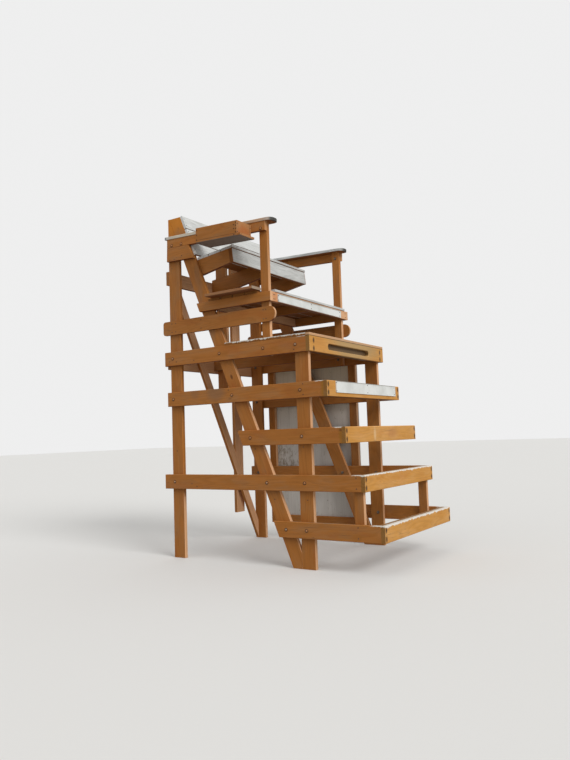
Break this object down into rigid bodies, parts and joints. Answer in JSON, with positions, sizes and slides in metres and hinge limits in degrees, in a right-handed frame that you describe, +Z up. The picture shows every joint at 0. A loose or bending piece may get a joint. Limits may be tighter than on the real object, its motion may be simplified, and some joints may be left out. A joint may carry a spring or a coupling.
{
  "type": "lifeguard tower",
  "caption": "Timber lifeguard tower: a raised seat with arms, foot shelf and platform on a climbing frame of horizontal boards with two raking legs.",
  "frame": {"origin": "bottom centre of the whole tower's box, on the ground", "axes": "+X towards the front, where the steps are and the seat looks; +Y towards the seat's left side; +Z up"},
  "size_m": [2.384, 1.76, 3.5],
  "materials": {
    "stained_timber": "oiled sawn softwood, orange brown",
    "golden_timber": "oiled sawn softwood, golden, worn on the edges",
    "weathered_boards": "bleached silver-grey boards",
    "grey_plywood": "weathered grey plywood"
  },
  "bodies": {
    "root": {"arm_beams": "stained_timber", "arm_caps": "weathered_boards", "arm_gussets": "stained_timber", "arm_posts": "stained_timber", "back_brace": "stained_timber", "back_upright": "stained_timber", "backrest": "weathered_boards", "foot_shelf_beams": "stained_timber", "foot_shelf_bearer": "stained_timber", "foot_shelf_deck": "weathered_boards", "foot_shelf_front": "golden_timber", "front_board_platform": "golden_timber", "front_board_step_1": "golden_timber", "front_board_step_2": "golden_timber", "front_board_step_3": "golden_timber", "front_board_step_4": "golden_timber", "gear_box": "stained_timber", "inner_boards": "golden_timber", "left_front_post": "stained_timber", "left_raking_leg": "stained_timber", "left_rear_post": "stained_timber", "left_side_board_platform": "stained_timber", "left_side_board_step_1": "stained_timber", "left_side_board_step_2": "stained_timber", "left_side_board_step_3": "stained_timber", "left_side_board_step_4": "stained_timber", "lower_back_rail": "stained_timber", "middle_post": "stained_timber", "platform_deck": "weathered_boards", "platform_joist": "stained_timber", "right_front_post": "stained_timber", "right_raking_leg": "stained_timber", "right_rear_post": "stained_timber", "right_side_board_platform": "stained_timber", "right_side_board_step_1": "stained_timber", "right_side_board_step_2": "stained_timber", "right_side_board_step_3": "stained_timber", "right_side_board_step_4": "stained_timber", "seat_beams": "stained_timber", "seat_deck": "weathered_boards", "seat_front_board": "weathered_boards", "side_panel_board": "grey_plywood", "side_panel_rails": "stained_timber", "side_panel_studs": "stained_timber", "side_shelf": "stained_timber", "sign_boards": "stained_timber", "step_hangers": "stained_timber", "upper_back_rail": "stained_timber"}
  },
  "joints": []
}
